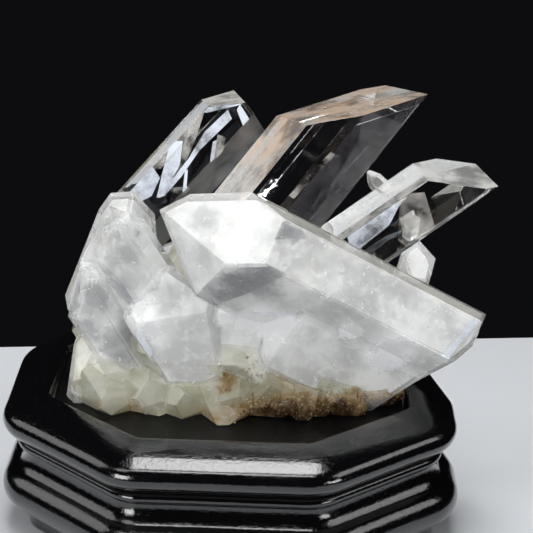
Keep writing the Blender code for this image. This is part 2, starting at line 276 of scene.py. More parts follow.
def stand_mesh():
    """The section carried round the outline, with the slight waviness of hand work."""
    bm = bmesh.new()
    rings = [plan_ring(inset, height) for inset, height in stand_profile()]
    rows = [[bm.verts.new(p) for p in ring] for ring in rings]
    floor = bm.faces.new(rows[0])
    for upper, lower in zip(rows, rows[1:]):
        for i in range(len(upper)):
            bm.faces.new((upper[i - 1], lower[i - 1], lower[i], upper[i]))
    bm.faces.new(list(reversed(rows[-1])))
    for face in bm.faces:
        face.smooth = len(face.verts) == 4
    floor.material_index = 1
    for vert in bm.verts:
        if 0.001 < vert.co.z:
            sway = noise.noise_vector(vert.co * 45) * 0.00018
            vert.co += Vector((sway.x, sway.y, 0))
    bmesh.ops.recalc_face_normals(bm, faces=bm.faces)
    mesh = bpy.data.meshes.new("stand")
    bm.to_mesh(mesh)
    bm.free()
    return mesh


stand = piece("stand", stand_mesh(), black_lacquer(), recess_lacquer())
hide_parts("display_stand")


# THE MILKY CRYSTALS
# Thick six-sided quartz points grown through each other: clear at the skin and full of white veils
# inside. They are one stone with the rest of the cluster, which lies in the stand's recess.

END_SLOPE = math.radians(38.2)
STOCK_SIZE = 0.260
BED_HEIGHT = STAND_HEIGHT - RECESS_DEPTH + 0.0003

FRONT_POINT = {
    "foot": (0.0714, -0.0066, 0.0570),
    "toward": (-0.0115, -0.0207, 0.1070),
    "turn": 33,
    "sides": (0.0115, 0.0110, 0.0072, 0.0190, 0.0240, 0.0130),
    "heads": (0.0868, None, 0.1047, None, 0.1115, 0.0972),
    "breaks": (
        ((0.0755, -0.0050, 0.0640), (0.95, -0.25, -0.30)),
        ((0.0490, -0.0100, 0.0425), (0.61, -0.20, -0.78)),
    ),
}
FLANK_POINT = {
    "foot": (-0.0100, -0.0120, 0.0460),
    "toward": (-0.0400, -0.0135, 0.0970),
    "turn": 8,
    "sides": (0.0075, 0.0112, 0.0130, 0.0120, 0.0120, 0.0064),
    "heads": (None, 0.0775, None, 0.0540, None, 0.0582),
}
LOW_LEFT_POINT = {
    "foot": (-0.0270, -0.0100, 0.0470),
    "toward": (-0.0430, -0.0140, 0.0800),
    "turn": -8,
    "sides": (0.0075, 0.0080, 0.0080, 0.0080, 0.0080, 0.0090),
    "heads": (0.0460, None, 0.0440, None, 0.0360, 0.0400),
}
MIDDLE_POINT = {
    "foot": (-0.0120, -0.0100, 0.0400),
    "toward": (-0.0170, -0.0120, 0.0735),
    "turn": 4,
    "sides": (0.0115, 0.0154, 0.0120, 0.0120, 0.0120, 0.0154),
    "heads": (0.0476, None, 0.0450, None, 0.0450, None),
    "breaks": (
        ((-0.0131, -0.0215, 0.0495), (0.00, -0.45, -0.89)),
        ((-0.0222, -0.0205, 0.0565), (-0.86, -0.30, -0.50)),
        ((-0.0030, -0.0215, 0.0515), (0.45, -0.30, -0.85)),
    ),
}
UNDER_POINT = {
    "foot": (0.0595, 0.0005, 0.0330),
    "toward": (-0.0083, -0.0110, 0.0739),
    "turn": -5,
    "sides": (0.0150, 0.0237, 0.0120, 0.0010, 0.0120, 0.0113),
    "heads": (0.0752, None, None, None, None, 0.0704),
    "breaks": (
        ((0.0755, -0.0050, 0.0640), (0.95, -0.25, -0.30)),
        ((0.0480, -0.0100, 0.0425), (0.61, -0.20, -0.78)),
    ),
}
YELLOW_POINT = {
    "foot": (0.0075, -0.0095, 0.0400),
    "toward": (0.0055, -0.0065, 0.0680),
    "turn": 0,
    "sides": (0.0125, 0.0141, 0.0120, 0.0120, 0.0120, 0.0141),
    "heads": (0.0470, None, 0.0400, None, 0.0400, None),
    "breaks": (
        ((0.0092, -0.0205, 0.0500), (-0.33, -0.35, -0.87)),
        ((0.0128, -0.0205, 0.0545), (0.80, -0.30, -0.53)),
    ),
}
EDGE_POINT = {
    "foot": (-0.0424, -0.0070, 0.0648),
    "toward": (-0.0273, -0.0070, 0.1018),
    "turn": 10,
    "sides": (0.0095, 0.0090, 0.0090, 0.0090, 0.0074, 0.0088),
    "heads": (None, 0.0420, None, 0.0420, None, 0.0460),
    "breaks": (
        ((-0.0487, -0.0100, 0.0730), (-0.97, -0.10, -0.20)),
        ((-0.0445, -0.0100, 0.0665), (-0.50, -0.30, -0.81)),
    ),
}
CORNER_POINT = {
    "foot": (-0.0360, -0.0050, 0.0380),
    "toward": (-0.0318, -0.0050, 0.0620),
    "turn": 0,
    "sides": (0.0110, 0.0131, 0.0120, 0.0120, 0.0090, 0.0150),
    "heads": (0.0370, None, 0.0360, None, 0.0360, 0.0390),
    "breaks": (
        ((-0.0390, -0.0160, 0.0560), (-0.45, -0.80, 0.40)),
        ((-0.0330, -0.0170, 0.0500), (0.35, -0.90, 0.25)),
    ),
}
SHOULDER_POINT = {
    "foot": (0.0500, 0.0030, 0.0600),
    "toward": (0.0570, 0.0030, 0.0860),
    "turn": 25,
    "sides": (0.0050, 0.0055, 0.0050, 0.0050, 0.0050, 0.0050),
    "heads": (0.0240, 0.0300, 0.0290, None, 0.0290, 0.0300),
}
BACK_LEFT_POINT = {
    "foot": (-0.0080, 0.0020, 0.0500),
    "toward": (-0.0300, 0.0360, 0.0700),
    "turn": 15,
    "sides": (0.0100, 0.0110, 0.0090, 0.0100, 0.0110, 0.0090),
    "heads": (0.0430, None, 0.0470, None, 0.0450, None),
}
BACK_RIGHT_POINT = {
    "foot": (0.0220, 0.0000, 0.0520),
    "toward": (0.0420, 0.0340, 0.0640),
    "turn": -20,
    "sides": (0.0090, 0.0080, 0.0100, 0.0090, 0.0080, 0.0100),
    "heads": (0.0400, None, 0.0380, None, 0.0430, None),
}


def slice_off(bm, point, normal, mark=None):
    """Cuts away what lies beyond the plane, closes the cut and gives the new face its mark."""
    everything = bm.verts[:] + bm.edges[:] + bm.faces[:]
    cut = bmesh.ops.bisect_plane(
        bm, geom=everything, plane_co=point, plane_no=normal, dist=1e-7, clear_outer=True
    )
    rim = [item for item in cut["geom_cut"] if isinstance(item, bmesh.types.BMEdge)]
    if rim:
        made = bmesh.ops.contextual_create(bm, geom=rim)["faces"]
        if mark is not None:
            frost_and_shade = bm.faces.layers.float["frost_and_shade"]
            for face in made:
                face[frost_and_shade] = mark


def crystal_mesh(spec, inset=0.0, frost_and_shade=None, edge=0.00018):
    """A six-sided crystal. Its face values give a face's bloom, and on the milky skin its painted shade;
    inset shrinks it all round.
    """
    foot = Vector(spec["foot"])
    along = (Vector(spec["toward"]) - foot).normalized()
    front = Vector((0, -1, 0))
    front = (front - along * front.dot(along)).normalized()
    across = along.cross(front)
    frost_and_shade = frost_and_shade or {}
    rest = frost_and_shade.get("rest", 0.0)
    bm = bmesh.new()
    bm.faces.layers.float.new("frost_and_shade")
    reach = bm.verts.layers.float.new("along")
    bmesh.ops.create_cube(bm, size=STOCK_SIZE)
    bmesh.ops.translate(bm, verts=bm.verts, vec=foot)
    slice_off(bm, foot + along * inset, -along, rest)
    for k in range(6):
        angle = math.radians(spec["turn"] + 60 * k)
        outward = front * math.cos(angle) + across * math.sin(angle)
        slice_off(bm, foot + outward * (spec["sides"][k] - inset), outward, frost_and_shade.get(f"m{k}", rest))
        if spec["heads"][k] is not None:
            tilted = outward * math.cos(END_SLOPE) + along * math.sin(END_SLOPE)
            level = foot + along * spec["heads"][k] - tilted * inset
            slice_off(bm, level, tilted, frost_and_shade.get(f"r{k}", rest))
    for point, normal in spec.get("breaks", ()):
        away = Vector(normal).normalized()
        slice_off(bm, Vector(point) - away * inset, away, frost_and_shade.get("break", rest))
    slice_off(bm, Vector((0, 0, BED_HEIGHT + inset)), Vector((0, 0, -1)), rest)
    if edge:
        bmesh.ops.bevel(bm, geom=bm.edges[:], offset=edge, segments=2, affect="EDGES", profile=0.6)
    for vert in bm.verts:
        vert[reach] = (vert.co - foot).dot(along)
    bmesh.ops.recalc_face_normals(bm, faces=bm.faces)
    return bm


def merged(name, parts):
    """Several bmeshes as one mesh."""
    whole = bpy.data.meshes.new(name)
    total = bmesh.new()
    for bm in parts:
        one = bpy.data.meshes.new("one")
        bm.to_mesh(one)
        bm.free()
        total.from_mesh(one)
        bpy.data.meshes.remove(one)
    total.to_mesh(whole)
    total.free()
    return whole


def shadowed_by_little(tree, shader, output):
    """Lets light through to what is inside, as the clear quartz does."""
    path = tree.nodes.new("ShaderNodeLightPath")
    open_way = tree.nodes.new("ShaderNodeBsdfTransparent")
    mix = tree.nodes.new("ShaderNodeMixShader")
    tree.links.new(path.outputs["Is Shadow Ray"], mix.inputs[0])
    tree.links.new(shader.outputs[0], mix.inputs[1])
    tree.links.new(open_way.outputs[0], mix.inputs[2])
    tree.links.new(mix.outputs[0], output.inputs["Surface"])


def growth_group():
    """Height of the fine growth lines across the length of a crystal, over a slow unevenness."""
    values = [(title, "Float") for title in ("Along", "Lines", "Drift", "Unevenness")]
    made, given, mask = mask_group("growth_lines", values)
    drift = sums(made, "MULTIPLY", noise_node(made, given["Position"], 35, 3), given["Drift"])
    lines = made.nodes.new("ShaderNodeTexNoise")
    lines.noise_dimensions = "1D"
    lines.inputs["Detail"].default_value = 3
    fed(made, given["Lines"], lines.inputs["Scale"])
    fed(made, sums(made, "ADD", given["Along"], drift), lines.inputs["W"])
    slow = sums(made, "MULTIPLY", noise_node(made, given["Position"], 130, 3), given["Unevenness"])
    made.links.new(sums(made, "ADD", lines.outputs["Fac"], slow), mask)
    return made


GROWTH = growth_group()


def growth_bump(tree, strength, shader):
    """The growth lines as a bump on a crystal's faces."""
    along = tree.nodes.new("ShaderNodeAttribute")
    along.attribute_name = "along"
    height = placed(tree, GROWTH, Along=along.outputs["Fac"], Lines=800.0, Drift=0.006, Unevenness=2.0)
    return bumped(tree, height, strength, 0.0001, shader)


def spot_group():
    """1 inside a cloudy ball about a point and 0 outside it."""
    values = (("Centre", "Vector"), ("Radius", "Float"), ("Ragged", "Float"))
    made, given, mask = mask_group("cloudy_spot", values)
    gap = made.nodes.new("ShaderNodeVectorMath")
    gap.operation = "DISTANCE"
    made.links.new(given["Position"], gap.inputs[0])
    made.links.new(given["Centre"], gap.inputs[1])
    share = sums(made, "DIVIDE", gap.outputs["Value"], given["Radius"])
    cloud = noise_node(made, given["Position"], sums(made, "DIVIDE", 1.6, given["Radius"]), 5, 0.62)
    raggedness = sums(made, "MULTIPLY", given["Ragged"], 2.0)
    blur = sums(made, "MULTIPLY", sums(made, "SUBTRACT", cloud, 0.5), raggedness)
    made.links.new(ramped(made, sums(made, "ADD", share, blur), 0.45, 1.2, 1.0, 0.0), mask)
    return made


SPOT = spot_group()
BRUISES = (
    ((0.0482, -0.0202, 0.0611), 0.0056, 0.9),
    ((0.0448, -0.0196, 0.0575), 0.0036, 0.9),
    ((0.0515, -0.0224, 0.0644), 0.0030, 0.9),
    ((0.0364, -0.0226, 0.0690), 0.0034, 0.9),
    ((-0.0010, -0.0190, 0.0712), 0.0040, 0.4),
    ((0.0060, -0.0190, 0.0698), 0.0046, 0.4),
    ((0.0115, -0.0200, 0.0688), 0.0044, 0.4),
    ((0.0170, -0.0220, 0.0695), 0.0046, 0.4),
    ((-0.0220, -0.0237, 0.0683), 0.0030, 0.9),
    ((-0.0250, -0.0218, 0.0738), 0.0024, 0.9),
)


def milky_skin_quartz():
    """Clear quartz with a faint haze of its own, white bruises and flecks, and faces darkened by painted
    shade.
    """
    made, tree, shader, output = new_material("milky_skin")
    hazy = placed(tree, CLOUD, Scale=38, Detail=4, Low=0.3, High=0.7)
    colour = mixed(tree, hazy, (0.76, 0.77, 0.77), (0.88, 0.885, 0.88))
    frost_and_shade = tree.nodes.new("ShaderNodeAttribute")
    frost_and_shade.attribute_name = "frost_and_shade"
    # Faces with a face value get a darker beige-grey tint: painted shade.
    fed(tree, mixed(tree, frost_and_shade.outputs["Fac"], colour, (0.50, 0.49, 0.45)), shader.inputs["Base Color"])
    shader.inputs["Roughness"].default_value = 0.03
    shader.inputs["IOR"].default_value = 1.544
    shader.inputs["Transmission Weight"].default_value = 0.74
    normal = growth_bump(tree, 0.08, shader)
    bruise = tree.nodes.new("ShaderNodeBsdfPrincipled")
    bruise.inputs["Base Color"].default_value = (0.97, 0.97, 0.98, 1)
    bruise.inputs["Roughness"].default_value = 0.22
    tree.links.new(normal, bruise.inputs["Normal"])
    flecks = placed(tree, CLOUD, Scale=520, Detail=2, Low=0.65, High=0.73)
    white = sums(tree, "MULTIPLY", flecks, 0.7)
    for centre, radius, ragged in BRUISES:
        spot = placed(tree, SPOT, Centre=centre, Radius=radius, Ragged=ragged)
        white = sums(tree, "MAXIMUM", spot, white)
    mix = tree.nodes.new("ShaderNodeMixShader")
    fed(tree, sums(tree, "MULTIPLY", white, 0.95), mix.inputs[0])
    tree.links.new(shader.outputs[0], mix.inputs[1])
    tree.links.new(bruise.outputs[0], mix.inputs[2])
    shadowed_by_little(tree, mix, output)
    return made


SMOKY = (
    ((0.0100, -0.0255, 0.0851), 0.0066, 0.85),
    ((0.0040, -0.0230, 0.0880), 0.0050, 0.70),
    ((0.0380, -0.0205, 0.0760), 0.0060, 0.35),
    ((-0.0060, -0.0170, 0.1000), 0.0050, 0.45),
    ((0.0190, -0.0230, 0.0990), 0.0036, 0.70),
    ((-0.0367, -0.0195, 0.0772), 0.0060, 0.80),
    ((-0.0425, -0.0150, 0.0650), 0.0060, 0.75),
    ((-0.0320, -0.0170, 0.0600), 0.0065, 0.70),
    ((-0.0180, -0.0190, 0.0760), 0.0055, 0.45),
    ((-0.0280, -0.0190, 0.0900), 0.0050, 0.40),
)
WHITE = (
    ((0.0476, -0.0190, 0.0619), 0.0085),
    ((0.0358, -0.0210, 0.0689), 0.0040),
    ((0.0120, -0.0185, 0.0715), 0.0070),
    ((-0.0238, -0.0185, 0.0700), 0.0060),
    ((-0.0200, -0.0190, 0.0640), 0.0040),
    ((-0.0440, -0.0140, 0.0500), 0.0060),
)


def milk(name, pale, dull, scale):
    """Cloudy white inside the quartz, smoky in some places and snow white in others."""
    made, tree, shader, _ = new_material(name)
    broad = placed(tree, CLOUD, Scale=scale, Detail=5, Low=0.36, High=0.62)
    colour = mixed(tree, broad, dull, pale)
    threads = placed(tree, CLOUD, Scale=scale * 5, Detail=6, Low=0.52, High=0.66)
    colour = mixed(tree, sums(tree, "MULTIPLY", threads, 0.5), colour, (0.93, 0.94, 0.95))
    for centre, radius, depth in SMOKY:
        dim = placed(tree, SPOT, Centre=centre, Radius=radius, Ragged=0.9)
        colour = mixed(tree, sums(tree, "MULTIPLY", dim, depth), colour, (0.26, 0.265, 0.28))
    for centre, radius in WHITE:
        bright = placed(tree, SPOT, Centre=centre, Radius=radius, Ragged=0.7)
        colour = mixed(tree, bright, colour, (0.90, 0.91, 0.92))
    fed(tree, colour, shader.inputs["Base Color"])
    shader.inputs["Subsurface Weight"].default_value = 1.0
    shader.inputs["Subsurface Radius"].default_value = (1.0, 0.97, 0.93)
    shader.inputs["Subsurface Scale"].default_value = 0.0015
    shader.inputs["Roughness"].default_value = 0.6
    shader.inputs["Specular IOR Level"].default_value = 0.1
    return made


MILKY = (
    (FRONT_POINT, 0.0014),
    (FLANK_POINT, 0.0026),
    (LOW_LEFT_POINT, 0.0026),
    (MIDDLE_POINT, 0.0016),
    (UNDER_POINT, 0.0016),
    (YELLOW_POINT, 0.0014),
    (EDGE_POINT, 0.0020),
    (CORNER_POINT, 0.0018),
    (SHOULDER_POINT, 0.0018),
    (BACK_LEFT_POINT, 0.0014),
    (BACK_RIGHT_POINT, 0.0014),
)
# Faces of the front point darkened with painted shade, so that they look less lit from above.
PAINTED_SHADE_FACES = {"m1": 1.0, "m2": 0.6, "r2": 0.6}
skins = [crystal_mesh(spec, frost_and_shade=PAINTED_SHADE_FACES if spec is FRONT_POINT else None) for spec, _ in MILKY]
milky_skin = piece("milky_skin", merged("milky_skin", skins), milky_skin_quartz())
milky_core = piece(
    "milky_core",
    merged("milky_core", [crystal_mesh(spec, depth, edge=0) for spec, depth in MILKY]),
    milk("milk", (0.80, 0.805, 0.80), (0.55, 0.555, 0.545), 75),
)
for made in (milky_skin, milky_core):
    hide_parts("quartz_cluster")


# THE CLEAR POINTS
# Three long clear quartz points and a stub, grown out of the top and right of the cluster. Their
# feet pass into the milky quartz, and their upper faces are dulled by a thin beige bloom.

TALL_POINT = {
    "foot": (0.0018, -0.0063, 0.0812),
    "toward": (0.0313, 0.0128, 0.1147),
    "turn": -19.5,
    "sides": (0.0215, 0.0144, 0.0083, 0.0200, 0.0163, 0.0167),
    "heads": (None, None, None, None, None, 0.0646),
}
RIGHT_POINT = {
    "foot": (0.0345, -0.0031, 0.0810),
    "toward": (0.0645, 0.0060, 0.1005),
    "turn": -12,
    "sides": (0.0077, 0.0074, 0.0024, 0.0086, 0.0132, 0.0106),
    "heads": (None, None, None, None, None, 0.0470),
}
LEFT_POINT = {
    "foot": (-0.0330, 0.0050, 0.0850),
    "toward": (0.0002, 0.0180, 0.1200),
    "turn": -20,
    "sides": (0.0090, 0.0090, 0.0090, 0.0090, 0.0090, 0.0100),
    "heads": (None, None, None, None, None, 0.0600),
    "breaks": (((0.0026, 0.0150, 0.1270), (0.80, 0.25, 0.55)),),
}
STUB_POINT = {
    "foot": (0.0500, 0.0110, 0.0960),
    "toward": (0.0405, 0.0150, 0.1040),
    "turn": 10,
    "sides": (0.0026, 0.0024, 0.0022, 0.0024, 0.0022, 0.0024),
    "heads": (0.0135, 0.0130, None, None, 0.0142, 0.0128),
}


def bloomed_quartz(name, bloom_thin, bloom_pale, bloom_stained):
    """Clear quartz whose marked faces carry a thin bloom, stained in places."""
    made, tree, shader, output = new_material(name)
    shader.inputs["Base Color"].default_value = (1, 1, 1, 1)
    shader.inputs["Roughness"].default_value = 0.012
    shader.inputs["IOR"].default_value = 1.544
    shader.inputs["Transmission Weight"].default_value = 1.0
    normal = growth_bump(tree, 0.05, shader)
    bloom = tree.nodes.new("ShaderNodeBsdfPrincipled")
    frost_and_shade = tree.nodes.new("ShaderNodeAttribute")
    frost_and_shade.attribute_name = "frost_and_shade"
    inside = tree.nodes.new("ShaderNodeNewGeometry").outputs["Backfacing"]
    place = tree.nodes.new("ShaderNodeTexCoord").outputs["Object"]
    height = tree.nodes.new("ShaderNodeSeparateXYZ")
    tree.links.new(place, height.inputs[0])
    stained = placed(tree, CLOUD, Scale=70, Detail=5, Low=0.30, High=0.60)
    stained = sums(tree, "MULTIPLY", stained, ramped(tree, height.outputs["Z"], 0.104, 0.124, 0.15, 1.0))
    stained = sums(tree, "MULTIPLY", stained, ramped(tree, frost_and_shade.outputs["Fac"], 0.25, 0.5))
    colour = mixed(tree, ramped(tree, frost_and_shade.outputs["Fac"], 0.15, 0.4), bloom_thin, bloom_pale)
    fed(tree, mixed(tree, stained, colour, bloom_stained), bloom.inputs["Base Color"])
    bloom.inputs["Roughness"].default_value = 0.25
    bloom.inputs["IOR"].default_value = 1.544
    tree.links.new(normal, bloom.inputs["Normal"])
    patchy = ramped(tree, placed(tree, CLOUD, Scale=110, Detail=5, Low=0.3, High=0.7), 0.0, 1.0, 0.45, 1.3)
    amount = sums(tree, "MULTIPLY", frost_and_shade.outputs["Fac"], patchy)
    # Seen from inside, the bloom mostly gives way to clear quartz: painted shade that keeps its lit inner
    # side dark.
    amount = sums(tree, "MULTIPLY", amount, ramped(tree, inside, 0.0, 1.0, 1.0, 0.07))
    mix = tree.nodes.new("ShaderNodeMixShader")
    tree.links.new(amount, mix.inputs[0])
    tree.links.new(shader.outputs[0], mix.inputs[1])
    tree.links.new(bloom.outputs[0], mix.inputs[2])
    shadowed_by_little(tree, mix, output)
    return made


tall_point = piece(
    "tall_point",
    merged("tall_point", [crystal_mesh(TALL_POINT, frost_and_shade={"r5": 0.80, "m5": 0.80, "m1": 0.12})]),
    bloomed_quartz("stained_quartz", (0.42, 0.38, 0.46), (0.74, 0.72, 0.68), (0.84, 0.62, 0.46)),
)
side_points = piece(
    "side_points",
    merged(
        "side_points",
        [
            crystal_mesh(RIGHT_POINT, frost_and_shade={"r5": 0.8, "m5": 0.42, "m1": 0.06}),
            crystal_mesh(LEFT_POINT, frost_and_shade={"r5": 0.95, "break": 0.9, "m5": 0.06, "m1": 0.13}),
            crystal_mesh(STUB_POINT, frost_and_shade={"rest": 0.5}),
        ],
    ),
    bloomed_quartz("frosted_quartz", (0.62, 0.64, 0.66), (0.78, 0.785, 0.77), (0.76, 0.73, 0.63)),
)


CRACK_THICKNESS = 0.0002


def shard_mesh(spec, side, deep, corners):
    """A thin closed sheet inside a crystal and level with one of its faces, as a healed crack.
    Its depth and corners are in millimetres, the corners across and along the crystal, in order."""
    depth = deep * 0.001
    foot = Vector(spec["foot"])
    along = (Vector(spec["toward"]) - foot).normalized()
    front = Vector((0, -1, 0))
    front = (front - along * front.dot(along)).normalized()
    angle = math.radians(spec["turn"] + 60 * side)
    outward = front * math.cos(angle) + along.cross(front) * math.sin(angle)
    across = along.cross(outward)
    middle = foot + outward * (spec["sides"][side] - depth)
    points = [middle + across * u * 0.001 + along * v * 0.001 for u, v in corners]
    centre = sum(points, Vector()) / len(points)
    bm = crystal_mesh(spec, 0.0004, edge=0)
    slice_off(bm, middle + outward * CRACK_THICKNESS / 2, outward)
    slice_off(bm, middle - outward * CRACK_THICKNESS / 2, -outward)
    for i, point in enumerate(points):
        away = (point - points[i - 1]).cross(outward)
        away = away if away.dot(point - centre) > 0 else -away
        slice_off(bm, point, away.normalized())
    bmesh.ops.recalc_face_normals(bm, faces=bm.faces)
    return bm


def crack_haze(name, colour, strength, scale, low, high):
    """The pale haze of a healed crack, broken up into wisps."""
    made, tree, shader, _ = new_material(name)
    shader.inputs["Base Color"].default_value = (*colour, 1)
    shader.inputs["Roughness"].default_value = 0.4
    wisps = placed(tree, CLOUD, Scale=scale, Detail=7, Low=low, High=high)
    fed(tree, sums(tree, "MULTIPLY", wisps, strength), shader.inputs["Alpha"])
    return made


BRIGHT_CRACKS = (
    (LEFT_POINT, 0, 0.5, ((-8.8, 44.4), (-5.6, 45.3), (-0.3, 52.8), (0.8, 54.6), (-3.2, 55.4), (-7.3, 49.8))),
    (LEFT_POINT, 0, 1.6, ((-7.7, 31.9), (-3.4, 23.7), (0.5, 16.9), (1.7, 19.1), (-1.0, 28.7), (-5.2, 34.6))),
    (LEFT_POINT, 0, 1.2, ((-2.1, 41.0), (-0.4, 32.5), (0.5, 36.0), (1.3, 49.2), (-1.4, 50.4))),
    (LEFT_POINT, 0, 1.0, ((-0.3, 32.5), (0.9, 17.1), (2.0, 19.0), (1.8, 26.7), (0.5, 36.0))),
    (LEFT_POINT, 0, 0.8, ((1.3, 28.7), (6.1, 22.2), (6.9, 23.0), (1.9, 29.3))),
    (LEFT_POINT, 0, 0.8, ((1.8, 40.4), (10.0, 28.5), (10.2, 29.6), (2.3, 41.6))),
    (LEFT_POINT, 0, 0.6, ((0.2, 54.0), (0.7, 52.1), (8.8, 48.2), (8.1, 50.8), (4.6, 52.8))),
    (LEFT_POINT, 0, 0.6, ((6.8, 51.3), (8.4, 48.7), (11.0, 46.3), (13.2, 46.6), (13.2, 52.2), (9.9, 53.2))),
    (LEFT_POINT, 0, 0.7, ((10.6, 46.7), (12.5, 32.8), (13.7, 35.1), (14.4, 41.3), (13.0, 47.2))),
    (LEFT_POINT, 0, 1.0, ((-10.1, 23.6), (-8.1, 9.0), (-2.8, 10.9), (-0.9, 16.3), (-2.7, 21.9))),
    (RIGHT_POINT, 0, 0.7, ((3.7, 49.0), (5.7, 30.8), (7.7, 31.6), (6.4, 41.1))),
    (RIGHT_POINT, 0, 0.4, ((-8.2, 5.0), (-2.4, 3.0), (-3.6, 17.0), (-7.9, 25.0))),
    (FRONT_POINT, 5, 0.3, ((-24.1, 63.5), (-20.3, 50.1), (-15.4, 48.9), (-6.7, 54.2), (-23.4, 75.1))),
    (FRONT_POINT, 0, 0.7, ((-15.9, 40.1), (-12.3, 37.6), (-9.7, 38.1), (-10.5, 41.8), (-13.5, 43.5))),
    (FRONT_POINT, 0, 0.9, ((-9.2, 9.7), (5.8, 5.0), (6.5, 6.4), (-1.7, 9.5), (-8.7, 12.1))),
    (
        UNDER_POINT,
        0,
        0.7,
        ((13.7, 28.8), (13.8, 22.9), (19.1, 20.8), (24.1, 22.7), (24.4, 27.8), (19.7, 30.3)),
    ),
    (FLANK_POINT, 0, 0.7, ((-8.6, 30.3), (-8.3, 26.4), (-7.1, 27.1), (-7.4, 35.4))),
    (FLANK_POINT, 0, 0.5, ((-4.8, 26.4), (-4.0, 22.2), (-0.5, 25.6), (1.5, 31.6), (0.2, 34.4))),
    (MIDDLE_POINT, 0, 0.4, ((-13.2, 29.5), (-10.8, 23.5), (-8.5, 19.7), (-7.2, 23.5), (-9.5, 30.5))),
    (LOW_LEFT_POINT, 0, 0.6, ((5.2, 29.4), (5.9, 25.7), (7.1, 26.7), (6.9, 37.8), (5.4, 38.1))),
    (CORNER_POINT, 0, 0.5, ((-10.7, 8.1), (-7.8, 4.6), (-2.4, 5.0), (-4.6, 7.9), (-9.2, 10.4))),
)
FAINT_CRACKS = (
    (LEFT_POINT, 0, 2.2, ((-8.8, 43.9), (-4.3, 33.9), (0.6, 25.0), (0.7, 27.6), (-2.7, 37.4), (-6.4, 45.3))),
    (LEFT_POINT, 0, 1.4, ((1.2, 43.1), (9.9, 29.4), (8.8, 33.2), (3.8, 43.9))),
    (LEFT_POINT, 0, 1.8, ((1.4, 21.7), (1.9, 18.9), (3.5, 17.2), (6.7, 22.5), (8.3, 27.5), (4.7, 25.1))),
    (LEFT_POINT, 0, 3.0, ((-10.3, 34.7), (-6.2, 30.3), (-2.1, 30.0), (-5.2, 37.2), (-9.2, 42.9))),
    (TALL_POINT, 0, 1.0, ((1.8, 24.1), (3.5, 24.3), (4.1, 33.6), (2.5, 33.8), (2.2, 31.0))),
    (TALL_POINT, 0, 1.4, ((2.4, 33.9), (3.9, 34.7), (4.5, 41.4), (3.3, 41.5))),
    (RIGHT_POINT, 0, 1.5, ((-8.7, 24.4), (1.7, 16.6), (5.3, 17.7), (4.6, 23.9), (-0.7, 26.1), (-7.2, 28.0))),
    (RIGHT_POINT, 0, 2.2, ((-7.1, 28.1), (4.7, 24.0), (4.2, 27.9), (-5.5, 30.9))),
    (
        RIGHT_POINT,
        0,
        0.8,
        ((-16.3, 19.5), (-15.7, 14.2), (-10.5, 8.4), (-8.8, 10.9), (-10.6, 17.0), (-14.8, 20.6)),
    ),
    (FRONT_POINT, 0, 0.9, ((-10.0, 50.8), (-8.1, 50.3), (-7.2, 64.1), (-8.6, 65.7))),
    (LEFT_POINT, 5, 2.0, ((-4.0, 20.0), (5.0, 24.0), (5.0, 34.0), (-3.0, 30.0))),
    (RIGHT_POINT, 1, 1.5, ((-2.0, 6.0), (5.0, 8.0), (5.0, 20.0), (-1.0, 18.0))),
)
SMOKY_VEILS = (
    (
        FRONT_POINT,
        5,
        0.4,
        ((-22.7, 75.5), (-7.8, 69.4), (4.5, 65.9), (8.0, 68.3), (-4.0, 80.8), (-21.7, 81.7)),
    ),
    (FRONT_POINT, 0, 0.5, ((-1.2, 73.6), (4.1, 64.0), (7.6, 69.0), (5.0, 72.4))),
    (
        FLANK_POINT,
        0,
        0.7,
        ((-3.8, 41.1), (-2.3, 33.7), (-0.5, 33.2), (-0.5, 42.0), (-1.8, 48.6), (-2.9, 50.0)),
    ),
    (LOW_LEFT_POINT, 0, 0.7, ((-3.7, 30.6), (-0.6, 32.3), (5.5, 37.2), (7.9, 42.1), (-1.0, 37.7))),
    (CORNER_POINT, 0, 0.6, ((-11.6, 19.6), (-9.4, 16.4), (-3.2, 24.2), (-5.2, 25.8))),
)
bright_cracks = piece(
    "bright_cracks",
    merged("bright_cracks", [shard_mesh(*crack) for crack in BRIGHT_CRACKS]),
    crack_haze("bright_haze", (0.80, 0.85, 0.93), 0.72, 110, 0.26, 0.62),
)
faint_cracks = piece(
    "faint_cracks",
    merged("faint_cracks", [shard_mesh(*crack) for crack in FAINT_CRACKS]),
    crack_haze("faint_haze", (0.70, 0.68, 0.64), 0.36, 140, 0.36, 0.70),
)
smoky_veils = piece(
    "smoky_veils",
    merged("smoky_veils", [shard_mesh(*crack) for crack in SMOKY_VEILS]),
    crack_haze("smoky_haze", (0.20, 0.21, 0.24), 0.55, 120, 0.34, 0.66),
)
for made in (tall_point, side_points, bright_cracks, faint_cracks, smoky_veils):
    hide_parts("quartz_cluster")


# THE ROUGH FOOT
# Broken quartz, small points and a rusty crust at the foot of the cluster, all of one stone with it.
# It lies on the floor of the recess on a worn flat.

